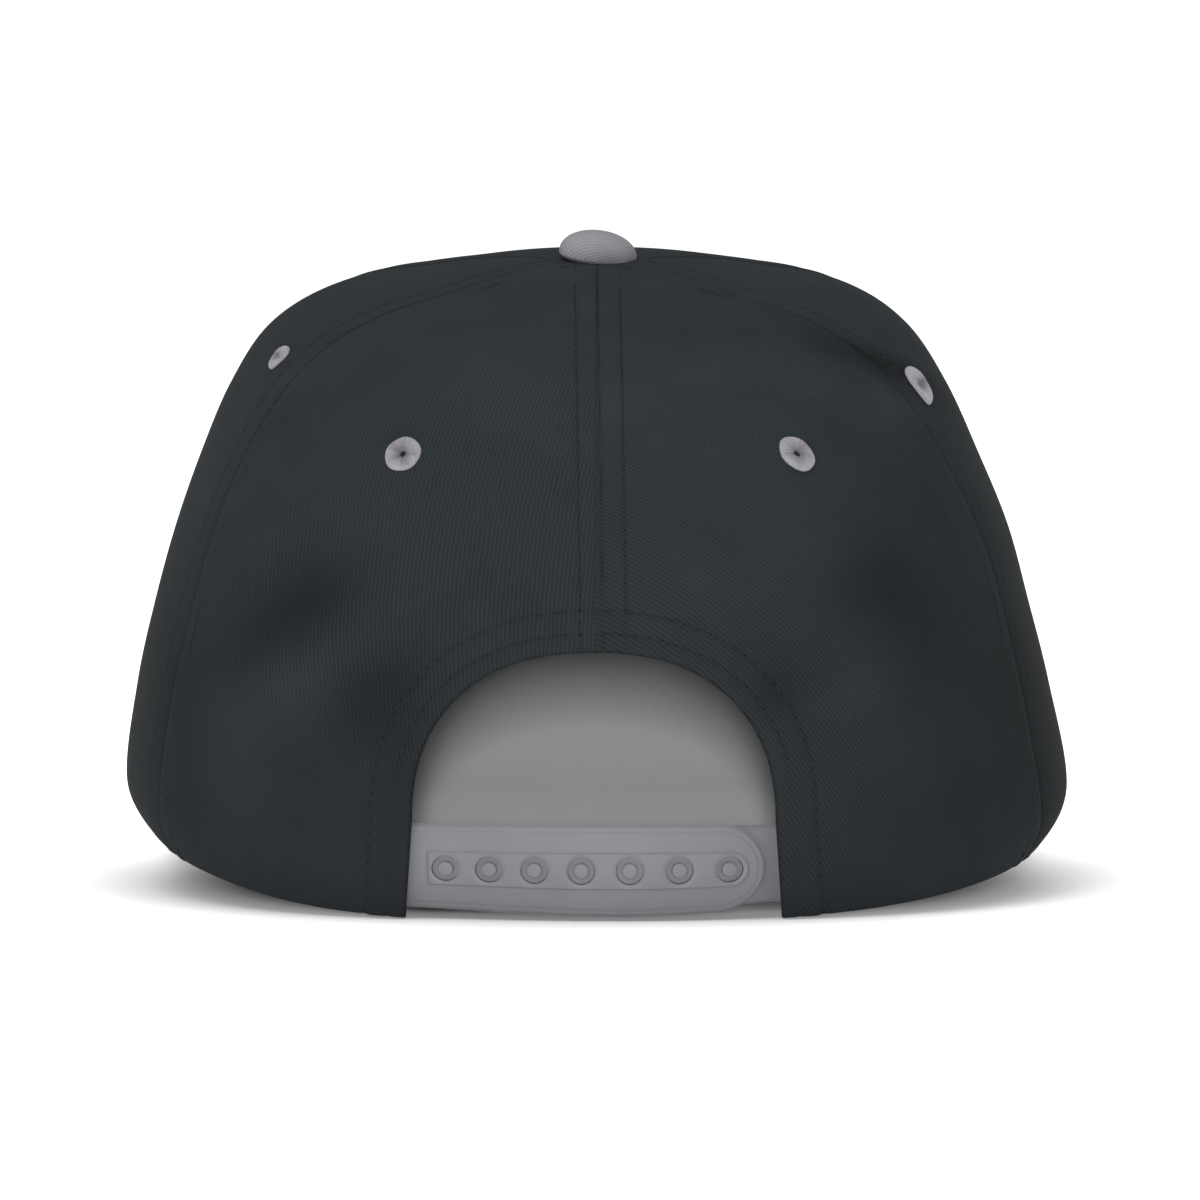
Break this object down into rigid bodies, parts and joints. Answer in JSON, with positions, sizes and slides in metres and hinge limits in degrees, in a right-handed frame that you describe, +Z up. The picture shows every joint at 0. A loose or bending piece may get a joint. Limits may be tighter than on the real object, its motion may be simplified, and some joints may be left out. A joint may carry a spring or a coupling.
{
  "type": "snapback cap",
  "caption": "Six-panel structured cap with a flat brim, an arched back opening and a plastic snap strap.",
  "frame": {"origin": "centre of the cap's footprint, on the surface that it rests on", "axes": "+X is the wearer's right, +Y points out of the front over the brim, +Z is up"},
  "size_m": [0.1875, 0.2422, 0.1303],
  "materials": {
    "crown_twill": "dark blue-grey twill, matt",
    "eyelet_thread": "grey satin embroidery thread",
    "trim_cloth": "pale warm grey twill",
    "band_cloth": "grey plain weave",
    "strap_plastic": "moulded, satin"
  },
  "bodies": {
    "root": {"rear_left_panel": "crown_twill", "rear_right_panel": "crown_twill", "side_left_panel": "crown_twill", "side_right_panel": "crown_twill", "front_left_panel": "crown_twill", "front_right_panel": "crown_twill", "rear_left_eyelet": "eyelet_thread", "rear_right_eyelet": "eyelet_thread", "side_left_eyelet": "eyelet_thread", "side_right_eyelet": "eyelet_thread", "front_left_eyelet": "eyelet_thread", "front_right_eyelet": "eyelet_thread", "button": "trim_cloth", "brim": "trim_cloth", "sweatband": "band_cloth", "outer_strap": "strap_plastic", "inner_strap": "strap_plastic"}
  },
  "joints": []
}
